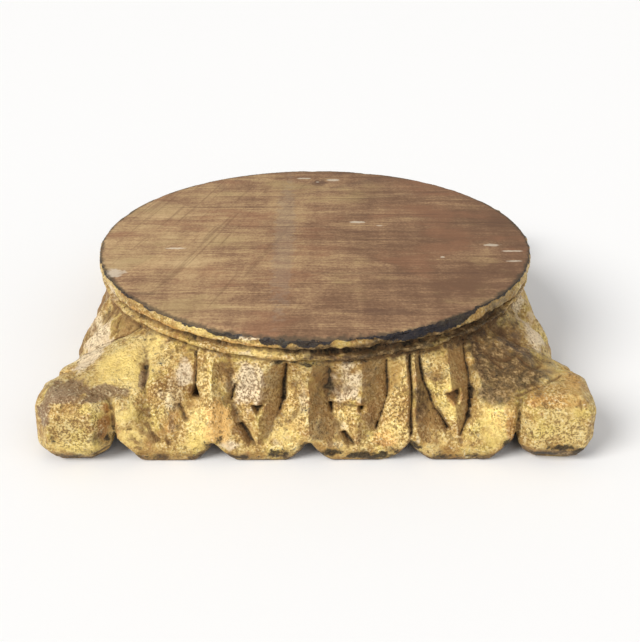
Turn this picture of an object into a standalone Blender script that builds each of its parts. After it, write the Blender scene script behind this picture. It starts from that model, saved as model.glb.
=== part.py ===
"""Column base of carved and gilded wood, with a round sawn top and a square foot.

It is one block of wood. A turned moulding runs round the neck under the flat
top. Below it each of the four sides carries a row of leaf lobes, and a smooth
leaf comes down over each corner to a chamfered block. Sizes are in metres. The
origin is on the floor under the middle of the base, +Z is up, and the front
faces -Y.
"""

import math

import bmesh
import bpy
from mathutils import Matrix, Vector

# Overall sizes
TOP_RADIUS = 0.150  # the sawn round top that carries the column
HEIGHT = 0.078  # floor to top
BASE_WIDTH = 0.330  # over the corner blocks

# Turned moulding, read downwards from the top
EDGE_WEAR = 0.0012  # worn bevel round the top's edge
RIM_HEIGHT = 0.0076  # plain band under the top
UPPER_GROOVE = 0.0042
RING_HEIGHT = 0.0040  # thin ring between the two grooves
LOWER_GROOVE = 0.0028
UPPER_GROOVE_DEPTH = 0.0036
LOWER_GROOVE_DEPTH = 0.0030
RING_DEPTH = 0.0008  # how far the ring lies inside the band
NECK_DEPTH = 0.0022  # and the top of the carving

# The rows of lobes, one row to a side
SIDES = 4
LOBES_PER_SIDE = 4
LIP_INSET = 0.0030  # lobes' lips, behind the faces of the corner blocks
LIP_HEIGHT = 0.0100  # where the lobes stand out furthest
LIP_UNDERCUT = 0.0030  # how far the lip draws back down to the floor
LIP_ROUNDING = 0.0016  # how far a lip falls back at its two ends
BROW_OUT = 0.1475  # the sides' surface halfway down, from the middle of the base
BROW_SHARE = 0.34  # and how far down that is, from the neck to the lips
NECK_GATHER = 0.19  # how much the outer lobes draw together at the neck
NOTCH_HEIGHT = 0.0130  # gap under the joint of two lobes
NOTCH_DEPTH = 0.0300  # how far that gap runs in under the base
FLAT_FOOT = 0.58  # share of a lobe's half width that stands on the floor

# One lobe's carving. Places across it are shares of its half width
CREST_PLACE = 0.93  # ridge of each arm, beside the joint with the next lobe
JOINT_DEPTH = 0.0034  # groove between two lobes
LEAF_HALF_WIDTH = 0.50  # inner leaf, from its ridge to the hollow beside it
LEAF_WAIST = 0.80  # the leaf's width at its waist, as a share of the full width
LEAF_SHIFTS = (0.05, 0.0, -0.02, -0.24)  # leaf's ridge in each lobe of a side
HOLLOW_DEPTH = 0.0078
LEAF_SINK = 0.0008  # inner leaf's ridge, under the arms' ridges
WAIST_SHARE = 0.50
TIP_SHARE = 0.90  # inner leaf's tip
TIP_HALF_WIDTH = 0.06

# Cuts in each lobe
EYE_PLACES = (0.50, 0.0, 0.0, 0.12)  # eye in each lobe of a side
EYE_WIDTH = 0.0080
EYE_HEIGHT = 0.0070
EYE_DEPTH = 0.0075
PIT_RADIUS = 0.0017  # drilled pit in the hollow left of the leaf
PIT_DEPTH = 0.0055
SLIT_WIDTH = 0.0032  # slit under the left of the leaf's tip
SLIT_LENGTH = 0.0150
SLIT_DEPTH = 0.0055
SLIT_LEAN = math.radians(-36)

# Corners
BLOCK_WIDTH = 0.045
BLOCK_HEIGHT = 0.0430
BLOCK_EDGE_CHAMFER = 0.0080
BLOCK_TOP_INSET = 0.0090  # slope from the top to the upright faces
BLOCK_TOP_DROP = 0.0042
BLOCK_FOOT_INSET = 0.0085  # slope from the upright faces to the floor
BLOCK_FOOT_RISE = 0.0120
BLOCK_GAP = 0.0025  # between a block and the lobe beside it
GAP_RECESS = 0.0080  # how far the gap runs in
LEDGE_HEIGHT = 0.0410  # where the corner leaf reaches the block
WALL_TOP = 0.0360  # top of the upright face below the corner leaf
WALL_INSET = 0.0035  # that edge, behind the lip
RIM_INSET = 0.0085  # and beside the end lobe's leaf
LEAF_RIM_WIDTH = 0.0035  # raised rim along the corner leaf
LEAF_RIM_RISE = 0.0012

# Values worked out from the sizes above
HALF_WIDTH = BASE_WIDTH / 2
LOBE_SPAN = BASE_WIDTH - 2 * (BLOCK_WIDTH + BLOCK_GAP)
LOBE_HALF = LOBE_SPAN / LOBES_PER_SIDE / 2
LIP_OUT = HALF_WIDTH - LIP_INSET
NECK_RADIUS = TOP_RADIUS - NECK_DEPTH
NECK_HEIGHT = HEIGHT - RIM_HEIGHT - UPPER_GROOVE - RING_HEIGHT - LOWER_GROOVE
CORE_OUT = LIP_OUT - NOTCH_DEPTH

# Rows of the carving, as shares of the way down from the neck to the lips
WALL_SHARE = 0.43
ROW_SHARES = (0.06, 0.20, BROW_SHARE, WALL_SHARE, WAIST_SHARE, 0.60, 0.71, 0.82, TIP_SHARE, 1.0)
CORNER_STEPS = (0.35, 0.68)  # columns between a gap and the corner's middle

GILDED_COLOUR = (0.50, 0.34, 0.12, 1.0)


def mix(a, b, share):
    return a + (b - a) * share


def ramp(value, start, end):
    """0 before start, 1 after end, and straight in between."""
    return min(1.0, max(0.0, (value - start) / (end - start)))


def moulding_profile():
    """(radius, height) pairs down the turned moulding, from the top's edge."""
    rim_foot = HEIGHT - RIM_HEIGHT
    ring_top = rim_foot - UPPER_GROOVE
    ring_foot = ring_top - RING_HEIGHT
    upper_radius = TOP_RADIUS - UPPER_GROOVE_DEPTH
    lower_radius = TOP_RADIUS - LOWER_GROOVE_DEPTH
    ring_radius = TOP_RADIUS - RING_DEPTH
    return [
        (TOP_RADIUS - EDGE_WEAR, HEIGHT),
        (TOP_RADIUS, HEIGHT - EDGE_WEAR),
        (TOP_RADIUS, rim_foot + RIM_HEIGHT * 0.1),
        (TOP_RADIUS - RING_DEPTH, rim_foot),
        (upper_radius, rim_foot - UPPER_GROOVE * 0.35),
        (upper_radius, rim_foot - UPPER_GROOVE * 0.6),
        (ring_radius - RING_DEPTH, ring_top),
        (ring_radius, ring_top - RING_HEIGHT * 0.25),
        (ring_radius, ring_foot + RING_HEIGHT * 0.25),
        (ring_radius - RING_DEPTH, ring_foot),
        (lower_radius, ring_foot - LOWER_GROOVE * 0.3),
        (lower_radius, ring_foot - LOWER_GROOVE * 0.6),
        (NECK_RADIUS, NECK_HEIGHT),
    ]


def leaf_width(share):
    """Half width of the inner leaf as a share of the lobe's half width."""
    if share > TIP_SHARE:
        return mix(TIP_HALF_WIDTH, FLAT_FOOT, ramp(share, TIP_SHARE, 1.0))
    waist = mix(1.0, LEAF_WAIST, ramp(share, BROW_SHARE, WAIST_SHARE))
    if share > WAIST_SHARE:
        turn = ramp(share, WAIST_SHARE, TIP_SHARE)
        return mix(TIP_HALF_WIDTH, LEAF_HALF_WIDTH * waist, math.sqrt(1 - turn * turn))
    return LEAF_HALF_WIDTH * waist


def lobe_section(share, shift):
    """A lobe's cross-section as (place across, depth) pairs, from its left joint to its right ridge."""
    half = leaf_width(share)
    middle = shift * (1 - ramp(share, TIP_SHARE, 1.0))
    fade = 1 - ramp(share, 0.68, 0.98)
    hollow = HOLLOW_DEPTH * fade * mix(0.6, 1.0, ramp(share, 0.0, 0.2))
    leaf = mix(LEAF_SINK, hollow * 0.6, ramp(share, 0.60, TIP_SHARE))
    ends = LIP_ROUNDING * ramp(share, 0.4, 1.0)
    return [
        (-1.0, JOINT_DEPTH + ends),
        (-CREST_PLACE, ends),
        (max(middle - half, 0.05 - CREST_PLACE), hollow),
        (middle, leaf),
        (min(middle + half, CREST_PLACE - 0.05), hollow),
        (CREST_PLACE, ends),
    ]


def neck_angle(along):
    """Angle round the neck, from the middle of a side, that a place along the side leads up to."""
    gather = NECK_GATHER * (abs(along) / (LOBE_SPAN / 2)) ** 3
    return math.asin(along * (1 - gather) / NECK_RADIUS)


def lobe_point(centre, across, depth, share, rise):
    """(along, out, height) of a carved point of the lobe centred at that place along the side."""
    foot_along = centre + across * LOBE_HALF
    angle = neck_angle(foot_along)
    part = ramp(share, 0.0, BROW_SHARE)
    along = mix(NECK_RADIUS * math.sin(angle), foot_along, part)
    out = mix(NECK_RADIUS * math.cos(angle), BROW_OUT, part)
    spread = ramp(share, BROW_SHARE, 1.0)
    out += (LIP_OUT - BROW_OUT) * (1 - (1 - spread) ** 1.35)
    height = mix(NECK_HEIGHT, LIP_HEIGHT + rise / 2, share)
    return along, out - depth, height


def foot_rise(across):
    """Height of a lobe's lower edge over the floor: flat in the middle, rising to the notches."""
    return NOTCH_HEIGHT * ramp(abs(across), FLAT_FOOT, 1.0)


def lobe_columns(lobe):
    """Columns of one lobe. The outer arms of a side's end lobes belong to the corner leaves."""
    centre = (2 * lobe + 1) * LOBE_HALF - LOBE_SPAN / 2
    shift = LEAF_SHIFTS[lobe % len(LEAF_SHIFTS)]
    first = 2 if lobe == 0 else 0
    last = 5 if lobe == LOBES_PER_SIDE - 1 else 6

    def column(knot):
        across_foot, _ = lobe_section(1.0, shift)[knot]
        across_neck, _ = lobe_section(0.0, shift)[knot]
        rise = foot_rise(across_foot)

        def point(share):
            across, depth = lobe_section(share, shift)[knot]
            return lobe_point(centre, across, depth, share, rise)

        return {"at": point, "neck": neck_angle(centre + across_neck * LOBE_HALF), "rise": rise}

    return [column(knot) for knot in range(first, last)]


def corner_columns(lobe, towards):
    """Columns from an end lobe's leaf out to the corner's middle, which towards (1 or -1) points at."""
    centre = towards * (LOBE_SPAN / 2 - LOBE_HALF)
    shift = LEAF_SHIFTS[lobe % len(LEAF_SHIFTS)] * towards
    outer_centre = abs(centre)
    hollow_along = outer_centre + (shift + LEAF_HALF_WIDTH) * LOBE_HALF
    rim = hollow_along + LEAF_RIM_WIDTH
    lobe_end = LOBE_SPAN / 2 - BLOCK_GAP / 2
    gap = LOBE_SPAN / 2 + BLOCK_GAP / 2
    inside = [mix(gap, BROW_OUT, step) for step in CORNER_STEPS]
    foot_end = outer_centre + FLAT_FOOT * LOBE_HALF
    gap_out = LIP_OUT - GAP_RECESS
    core = BROW_OUT - 0.001
    # (along at the brow, along at the foot, out below the brow, out at the lip, rim's rise, foot's rise)
    places = [
        (rim, foot_end + 0.001, LIP_OUT - RIM_INSET, LIP_OUT, LEAF_RIM_RISE, 0.0006),
        (
            mix(rim, lobe_end, 0.5),
            mix(foot_end, lobe_end, 0.5),
            LIP_OUT - WALL_INSET * 1.4,
            LIP_OUT,
            0.0,
            NOTCH_HEIGHT * 0.5,
        ),
        (lobe_end, lobe_end, LIP_OUT - WALL_INSET, LIP_OUT - LIP_ROUNDING, 0.0, NOTCH_HEIGHT),
        (gap, gap, gap_out - 0.001, gap_out, 0.0, NOTCH_HEIGHT * 1.2),
    ]
    places += [(place, place, core, core, 0.0, NOTCH_HEIGHT) for place in inside]
    places.append((BROW_OUT, core, core, core, 0.0, NOTCH_HEIGHT))
    start = neck_angle(hollow_along)
    middle = math.pi / SIDES

    def column(number, place):
        brow_along, foot_along, wall_out, foot_out, rim_rise, rise = place
        angle = mix(start, middle, (number + 1) / len(places))

        def point(share):
            if share <= BROW_SHARE:
                part = share / BROW_SHARE
                along = mix(NECK_RADIUS * math.sin(angle), brow_along, part)
                out = mix(NECK_RADIUS * math.cos(angle), BROW_OUT, part)
                lift = rim_rise * math.sin(math.pi * part / 2)
                height = mix(NECK_HEIGHT, LEDGE_HEIGHT, part**0.8) + lift
            else:
                part = ramp(share, WALL_SHARE, 1.0)
                along = mix(brow_along, foot_along, part)
                out = mix(wall_out, foot_out, math.sqrt(part))
                height = mix(WALL_TOP, LIP_HEIGHT + rise / 2, part)
            return towards * along, out, height

        return {"at": point, "neck": towards * angle, "rise": rise}

    return [column(number, place) for number, place in enumerate(places)]


def side_columns():
    """Every column of one side, left to right. Each gives a point for a row's share."""
    last_lobe = LOBES_PER_SIDE - 1
    columns = list(reversed(corner_columns(0, -1)))
    for lobe in range(LOBES_PER_SIDE):
        columns += lobe_columns(lobe)
    # The corner's middle column belongs to the next side.
    return columns + corner_columns(last_lobe, 1)[:-1]


def rows():
    """All rows of the body's skin, top to bottom, each a closed ring of points."""
    columns = side_columns()

    def ring(point_of):
        points = []
        for side in range(SIDES):
            turn = Matrix.Rotation(side * 2 * math.pi / SIDES, 3, "Z")
            for column in columns:
                along, out, height = point_of(column)
                points.append(turn @ Vector((along, -out, height)))
        return points

    def on_circle(radius, height):
        def point(column):
            angle = column["neck"]
            return radius * math.sin(angle), radius * math.cos(angle), height

        return point

    def pulled_in(column, out, height):
        """The column's lip point, drawn straight in towards the middle of the base."""
        along, lip_out, _ = column["at"](1.0)
        reach = out / max(abs(along), lip_out)
        return along * reach, lip_out * reach, height

    def foot(column):
        _, lip_out, _ = column["at"](1.0)
        return pulled_in(column, lip_out - LIP_UNDERCUT, column["rise"])

    made = [ring(on_circle(radius, height)) for radius, height in moulding_profile()]
    made += [ring(lambda column, share=share: column["at"](share)) for share in ROW_SHARES]
    made.append(ring(foot))
    made.append(ring(lambda column: pulled_in(column, CORE_OUT, column["rise"] * 0.9)))
    made.append(ring(lambda column: pulled_in(column, CORE_OUT - 0.001, 0.0)))
    return made


def new_object(name, shape, cutter=False):
    """A mesh object in the scene. An operand of a cut or a join is left out of the finished model."""
    mesh = bpy.data.meshes.new(name)
    shape.to_mesh(mesh)
    shape.free()
    thing = bpy.data.objects.new(name, mesh)
    bpy.context.scene.collection.objects.link(thing)
    if cutter:
        thing.hide_render = True
        thing.display_type = "WIRE"
    return thing


def bridge(shape, rings):
    """Faces between rings of points, with a cap on the first and the last."""
    loops = [[shape.verts.new(point) for point in ring] for ring in rings]
    count = len(loops[0])
    for upper, lower in zip(loops, loops[1:]):
        for i in range(count):
            j = (i + 1) % count
            shape.faces.new((upper[i], lower[i], lower[j], upper[j]))
    shape.faces.new(loops[0])
    shape.faces.new(list(reversed(loops[-1])))


def body():
    """The skin of the whole base without its corner blocks."""
    shape = bmesh.new()
    bridge(shape, rows())
    faces = shape.faces[:]
    bmesh.ops.triangulate(shape, faces=faces, quad_method="SHORT_EDGE", ngon_method="BEAUTY")
    bmesh.ops.recalc_face_normals(shape, faces=shape.faces[:])
    return new_object("column_base", shape)


def octagon(middle, inset, chamfer, height):
    """Corners of a square block's level section, with its own corners cut off."""
    half = BLOCK_WIDTH / 2 - inset
    side = half - chamfer
    corners = [
        (half, -side),
        (half, side),
        (side, half),
        (-side, half),
        (-half, side),
        (-half, -side),
        (-side, -half),
        (side, -half),
    ]
    return [Vector((middle + x, -middle + y, height)) for x, y in corners]


def corner_blocks():
    """The four chamfered blocks at the corners, in one mesh."""
    shape = bmesh.new()
    middle = HALF_WIDTH - BLOCK_WIDTH / 2
    edge = BLOCK_EDGE_CHAMFER
    levels = [
        (BLOCK_TOP_INSET, edge * 0.7, BLOCK_HEIGHT),
        (BLOCK_TOP_INSET * 0.45, edge * 0.9, BLOCK_HEIGHT - BLOCK_TOP_DROP * 0.3),
        (0.0, edge, BLOCK_HEIGHT - BLOCK_TOP_DROP),
        (0.0, edge, BLOCK_FOOT_RISE),
        (BLOCK_FOOT_INSET * 0.4, edge * 0.9, BLOCK_FOOT_RISE * 0.4),
        (BLOCK_FOOT_INSET, edge * 0.6, 0.0),
    ]
    for side in range(SIDES):
        turn = Matrix.Rotation(side * 2 * math.pi / SIDES, 3, "Z")
        rings = [[turn @ point for point in octagon(middle, *level)] for level in levels]
        bridge(shape, rings)
    bmesh.ops.recalc_face_normals(shape, faces=shape.faces[:])
    return new_object("corner_blocks", shape, cutter=True)


def add_wedge(shape, frame, mouth, depth):
    """A cutter narrowing inwards from a mouth of (along, up) pairs in the frame's XZ plane."""
    back = 0.0025
    outer = [frame @ Vector((x * 1.25, -back, z * 1.25)) for x, z in mouth]
    inner = [frame @ Vector((x * 0.45, depth, z * 0.45)) for x, z in mouth]
    bridge(shape, [outer, inner])


def lobe_cutters():
    """Eyes, drilled pits and slits of every lobe, in one mesh."""
    shape = bmesh.new()
    eye = [(-EYE_WIDTH / 2, 0.0), (EYE_WIDTH / 2, -EYE_HEIGHT / 2), (EYE_WIDTH / 2, EYE_HEIGHT / 2)]
    pit = [
        (PIT_RADIUS * math.cos(i * math.pi / 3), PIT_RADIUS * math.sin(i * math.pi / 3))
        for i in range(6)
    ]
    slit = [
        (-SLIT_WIDTH / 2, -SLIT_LENGTH / 2),
        (SLIT_WIDTH / 2, -SLIT_LENGTH / 2),
        (SLIT_WIDTH / 2, SLIT_LENGTH / 2),
        (-SLIT_WIDTH / 2, SLIT_LENGTH / 2),
    ]
    for side in range(SIDES):
        turn = Matrix.Rotation(side * 2 * math.pi / SIDES, 4, "Z")
        for lobe in range(LOBES_PER_SIDE):
            centre = (2 * lobe + 1) * LOBE_HALF - LOBE_SPAN / 2
            shift = LEAF_SHIFTS[lobe % len(LEAF_SHIFTS)]
            eye_place = shift + EYE_PLACES[lobe % len(EYE_PLACES)]

            def frame_at(across, depth, share, roll=0.0):
                along, out, height = lobe_point(centre, across, depth, share, 0.0)
                place = Matrix.Translation((along, -out, height))
                return turn @ place @ Matrix.Rotation(roll, 4, "Y")

            hollow = shift - leaf_width(WAIST_SHARE)
            add_wedge(shape, frame_at(eye_place, LEAF_SINK, WAIST_SHARE), eye, EYE_DEPTH)
            add_wedge(shape, frame_at(hollow, HOLLOW_DEPTH, WAIST_SHARE), pit, PIT_DEPTH)
            low = frame_at(shift - 0.22, HOLLOW_DEPTH * 0.5, TIP_SHARE - 0.11, SLIT_LEAN)
            add_wedge(shape, low, slit, SLIT_DEPTH)
    bmesh.ops.recalc_face_normals(shape, faces=shape.faces[:])
    return new_object("lobe_cutters", shape, cutter=True)


def gilded_wood():
    material = bpy.data.materials.new("gilded_wood")
    material.use_nodes = True
    shader = material.node_tree.nodes["Principled BSDF"]
    shader.inputs["Base Color"].default_value = GILDED_COLOUR
    shader.inputs["Roughness"].default_value = 0.55
    shader.inputs["Metallic"].default_value = 0.35
    return material


def add_boolean(thing, operand, operation):
    modifier = thing.modifiers.new(operand.name, "BOOLEAN")
    modifier.operation = operation
    modifier.object = operand
    modifier.solver = "EXACT"


def main():
    for thing in list(bpy.data.objects):
        bpy.data.objects.remove(thing)
    base = body()
    add_boolean(base, corner_blocks(), "UNION")
    add_boolean(base, lobe_cutters(), "DIFFERENCE")
    base.data.materials.append(gilded_wood())
    base.data.shade_smooth()
    base.data.set_sharp_from_angle(angle=math.radians(24))


main()
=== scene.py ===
"""Looks of the carved and gilded column base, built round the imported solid.

The carving is one fine mesh that stands for the solid. A smooth body is lofted from
the solid's own sizes, remeshed finely, and then folded, cut and worn as a carver and
time would do it. Sizes are in metres unless a name or a comment says millimetres.
"""

import math

import bpy
import numpy as np
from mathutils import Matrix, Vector


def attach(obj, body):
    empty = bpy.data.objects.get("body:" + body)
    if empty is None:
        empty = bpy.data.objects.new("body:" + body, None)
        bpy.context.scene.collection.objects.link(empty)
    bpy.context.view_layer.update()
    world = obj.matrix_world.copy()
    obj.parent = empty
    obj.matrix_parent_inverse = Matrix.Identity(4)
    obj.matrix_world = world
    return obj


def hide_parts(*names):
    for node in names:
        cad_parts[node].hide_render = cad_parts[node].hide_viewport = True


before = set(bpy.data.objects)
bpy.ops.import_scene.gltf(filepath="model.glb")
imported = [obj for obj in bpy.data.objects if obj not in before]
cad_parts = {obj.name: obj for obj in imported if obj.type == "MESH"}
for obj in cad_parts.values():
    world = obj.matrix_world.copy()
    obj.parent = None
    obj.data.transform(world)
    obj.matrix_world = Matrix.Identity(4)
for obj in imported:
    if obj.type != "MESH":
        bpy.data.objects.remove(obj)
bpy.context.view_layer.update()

# Sizes of the body. They are the solid's own, except that the moulding's bands and grooves
# differ from it by up to a millimetre
TOP_RADIUS = 0.150
HEIGHT = 0.078
HALF_WIDTH = 0.165
RIM_HEIGHT = 0.0086
UPPER_GROOVE = 0.0038
RING_HEIGHT = 0.0038
LOWER_GROOVE = 0.0024
UPPER_GROOVE_DEPTH = 0.0036
LOWER_GROOVE_DEPTH = 0.0030
RING_DEPTH = 0.0008
NECK_RADIUS = 0.1478
NECK_HEIGHT = HEIGHT - RIM_HEIGHT - UPPER_GROOVE - RING_HEIGHT - LOWER_GROOVE
LIP_OUT = 0.162
LIP_HEIGHT = 0.010
LIP_UNDERCUT = 0.003
BROW_OUT = 0.1475
BROW_SHARE = 0.34
WALL_SHARE = 0.43
NECK_GATHER = 0.19
NOTCH_HEIGHT = 0.013
CORE_OUT = LIP_OUT - 0.030
BLOCK_WIDTH = 0.045
BLOCK_GAP = 0.0025
LOBE_SPAN = 2 * (HALF_WIDTH - BLOCK_WIDTH - BLOCK_GAP)
LOBE_HALF = LOBE_SPAN / 8
END_HOLLOW = 0.101
GAP_RECESS = 0.008
LEDGE_HEIGHT = 0.041
WALL_TOP = 0.036
WALL_INSET = 0.0035
RIM_INSET = 0.0085

# Fineness of the mesh and of the body it is cut from
VOXEL = 0.00078
TRIANGLES = 192000
ROWS = np.linspace(0.0, 1.0, 60)
ROW_COLUMNS = 102

# The carver's marks, the skin that counts as flat top or underside, where the top's worn edge
# begins, and the shine of both materials
CARVER_SEED = 7
GOUGE_MARKS = 560
WEB_MARKS = 130
FLAT_SKIN = 0.0006
EDGE_START = 0.1445
SPECULAR = 0.28


# Small maths helpers
def mix(a, b, share):
    return a + (b - a) * share


def ramp(value, start, end):
    return np.clip((value - start) / (end - start), 0.0, 1.0)


def smooth_ramp(value, start, end):
    t = ramp(value, start, end)
    return t * t * (3 - 2 * t)


def lattice_noise(points, size, seed):
    """Gradient noise from about -1 to 1, over cells of the given size, on an (n, 3) array."""
    p = points / size
    cell = np.floor(p).astype(np.int64)
    f = p - cell
    fade = f * f * f * (f * (f * 6 - 15) + 10)
    total = np.zeros(len(p))
    for dx in (0, 1):
        for dy in (0, 1):
            for dz in (0, 1):
                h = (cell[:, 0] + dx) * 374761393 + (cell[:, 1] + dy) * 668265263
                h = h + (cell[:, 2] + dz) * 2147483647 + seed * 1274126177
                h = (h ^ (h >> 13)) * 1274126177
                h = (h ^ (h >> 16)) & 0xFFFFFF
                angle = h / 16777216.0 * 2 * math.pi
                rise = ((h * 9301 + 49297) % 233280) / 116640.0 - 1.0
                flat = np.sqrt(1 - rise * rise)
                dot = (f[:, 0] - dx) * flat * np.cos(angle)
                dot += (f[:, 1] - dy) * flat * np.sin(angle)
                dot += (f[:, 2] - dz) * rise
                wx = fade[:, 0] if dx else 1 - fade[:, 0]
                wy = fade[:, 1] if dy else 1 - fade[:, 1]
                wz = fade[:, 2] if dz else 1 - fade[:, 2]
                total += dot * wx * wy * wz
    return total * 1.6


# Folds of the front, left to right, in millimetres: each is a crease running down the side,
# given by a few (place along, height, depth) points. Crests and hollows take turns.
FRONT_JOINTS = (-117.0, -61.0, -4.0, 56.5, 116.0)
FRONT_FOLDS = (
    ((-113, 59, 0), (-109, 50, 0), (-105, 37, 0), (-104, 27, 0), (-100, 12, 0)),
    ((-104, 58, 1.2), (-102, 50, 2.8), (-99, 37, 2.2), (-97, 27, 2), (-92, 15, 1.2)),
    ((-97, 57, 0.2), (-95, 40, 0.3), (-93, 27, 0.8), (-89.5, 14, 1)),
    ((-84, 55, 0.2), (-84, 40, 0), (-86, 27, 0.2), (-87, 14, 0.6)),
    ((-71.5, 56, 3), (-70.5, 44, 5), (-71.5, 37, 6), (-76.5, 30, 3.6), (-80, 24, 2.6), (-85, 13, 1.6)),
    ((-62, 57, 0.3), (-60.5, 40, 0), (-60.5, 12, 0)),
    ((-51, 58, 4), (-50.5, 50, 7), (-49.5, 37, 8), (-46.5, 28, 7.5), (-41.5, 20, 6), (-36.5, 13, 3.2)),
    ((-32.5, 58, 0.8), (-32.5, 50, 0.2), (-33.5, 37, 0.2), (-34, 29, 0.9), (-34.5, 14, 2)),
    ((-17.5, 58, 4.5), (-17.5, 50, 7.5), (-19, 37, 8.5), (-21, 31, 7.5), (-27, 18, 4.6), (-32, 13, 3)),
    ((-4.5, 58, 0.4), (-4, 40, 0), (-4, 12, 0)),
    ((8.5, 58, 3.5), (8, 50, 6.5), (8, 37, 7.6), (9.5, 29, 7.2), (15, 19, 5.4), (21.5, 12, 2.8)),
    ((26.5, 58, 0.8), (26.5, 50, 0.2), (26, 36, 0.2), (24.5, 29, 0.9), (23.8, 14, 1.8)),
    ((42.5, 58, 3.8), (42.5, 50, 6.6), (42, 37, 7.6), (40, 29, 7.2), (34.5, 20, 5.2), (27, 13, 2.6)),
    ((54.4, 58, 0.3), (54, 40, 0), (54, 12, 0)),
    ((56.8, 58, 3.8), (56.4, 45, 4.2), (56.2, 30, 3.4), (56, 14, 1.8)),
    ((59.2, 58, 0.8), (59, 45, 0.6), (58.6, 30, 0.4), (58.2, 12, 0)),
    ((62.5, 58, 4.5), (64, 47, 6.6), (67.5, 34, 7.2), (71.5, 27, 6.8), (79, 18.5, 4.4), (82.5, 13, 2.4)),
    ((79.5, 58, 1), (79.5, 42, 0), (80, 37, 0.4), (82, 27, 1.4), (84, 14, 2.2)),
    ((90.5, 57, 4), (91.5, 47, 6.5), (93, 41, 7.2), (92.5, 34, 6.8), (90, 27, 5.2), (86, 17, 3.2)),
    ((94, 57, 0.6), (96, 47, 0.5), (96.5, 39, 0.3), (95, 31, 0.3), (92, 23, 0.3), (88.5, 13, 0.4)),
    ((98.5, 57, 0.9), (99.5, 44, 0.8), (99.5, 30, 0.4), (97, 13, 0)),
    ((112, 58, 0), (112, 12, 0)),
)


def hollow_crease(middle, foot, half, deep, end):
    """The hollow on one side of a plain lobe's ridge, in millimetres."""
    return (
        (middle + half, 58, deep * 0.55),
        (middle + half, 50, deep * 0.9),
        (middle + half, 37, deep),
        (foot + half * 0.78, 28, deep * 0.9),
        (foot + half * 0.42, 19, deep * 0.66),
        (foot + end, 13, deep * 0.35),
    )


def lobe_folds(middle, halves, depths, lean):
    """Hollow, ridge and hollow creases of a plain lobe, in millimetres."""
    foot = middle + lean
    return [
        hollow_crease(middle, foot, -halves[0], depths[0], -2.5),
        ((middle, 58, 0.9), (middle, 50, 0.3), (middle, 37, 0.2), (foot, 28, 0.9), (foot, 14, 2.0)),
        hollow_crease(middle, foot, halves[1], depths[1], 2.5),
    ]


def plain_side(side):
    """Joints, folds and cuts of a side that doesn't show, with the carver's small differences."""
    rng = np.random.default_rng(40 + side)
    joints = [-117.0, -59.0, -1.0, 57.5, 117.0]
    for k in (1, 2, 3):
        joints[k] += rng.uniform(-2.0, 2.0)
    folds = [((-112, 58, 0.0), (-108, 37, 0.0), (-103, 12, 0.0))]
    cuts = []
    punches = []
    for k in range(4):
        left, right = joints[k], joints[k + 1]
        middle = (left + right) / 2 + (5, 0, 0, -5)[k] * 0.6 + rng.uniform(-1.5, 1.5)
        halves = rng.uniform(14.0, 16.0, 2)
        depths = rng.uniform(6.4, 8.2, 2)
        lean = rng.uniform(-2.0, 2.0)
        folds += lobe_folds(middle, halves, depths, lean)
        if k < 3:
            folds.append(((right, 58, 0.4), (right, 40, 0.0), (right, 12, 0.0)))
        if rng.random() < 0.75:
            x, z = middle + rng.uniform(-2, 2), 34 + rng.uniform(-1.5, 1.5)
            eye = ((x - 3.6, z), (x + 3.6, z + 0.3), (x + 0.4, z - 5.6))
            punches.append((eye, rng.uniform(4.0, 6.0), 1.5))
        x = middle + lean - 9.5
        slit = ((x - 2, 24.6), (x + 1.6, 24.8), (x + 9.6, 12.2), (x + 4.8, 12.4))
        punches.append((slit, rng.uniform(3.0, 4.4), 1.2))
        x = middle + halves[1]
        cuts.append((x, 57, x, 37, 0.9, 0.9, rng.uniform(1.0, 2.6)))
    folds.append(((103, 58, 0.0), (108, 37, 0.0), (103, 12, 0.0)))
    return tuple(joints), tuple(folds), tuple(cuts), tuple(punches)


# Cuts in the front, in millimetres: place along and height of the start, the same of the end,
# half widths there, depth
FRONT_CUTS = (
    # first lobe
    (-71.6, 58, -71.3, 46, 0.8, 0.9, 2.2), (-91.5, 41.6, -83, 41.6, 0.8, 0.8, 1.6),
    (-80, 34, -76, 26.5, 1.6, 2.2, 2), (-117, 22.3, -107.5, 22.6, 0.9, 0.9, 1.6),
    (-98.5, 25, -93, 15, 1, 1.3, 1), (-90.5, 24, -86, 13.5, 1.2, 1.4, 1.2),
    # second lobe
    (-47.6, 43.5, -49.6, 36, 0.9, 1, 2.6), (-17.4, 56, -19, 36, 1.1, 1.4, 3.4),
    (-19, 36, -21.4, 30.5, 1.4, 0.9, 2.6),
    # third lobe
    (9, 33.4, 27, 33, 0.8, 0.8, 1.5), (42.6, 57, 42.2, 37, 0.9, 1, 2.2),
    (42.2, 37, 38, 24, 0.9, 1, 1.6),
    # fourth lobe
    (62.6, 57, 64.2, 46, 1, 1, 2.4), (64.2, 46, 71, 30, 1, 1.2, 2.4),
    (90.6, 57, 92.8, 41, 1.3, 1.2, 2.2), (92.8, 41, 90.2, 27, 1.2, 1.3, 2.6),
    (90.2, 27, 85.8, 17, 1.3, 1.1, 2.2), (56.4, 58, 56, 18, 1.1, 1, 2.2),
)

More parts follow.
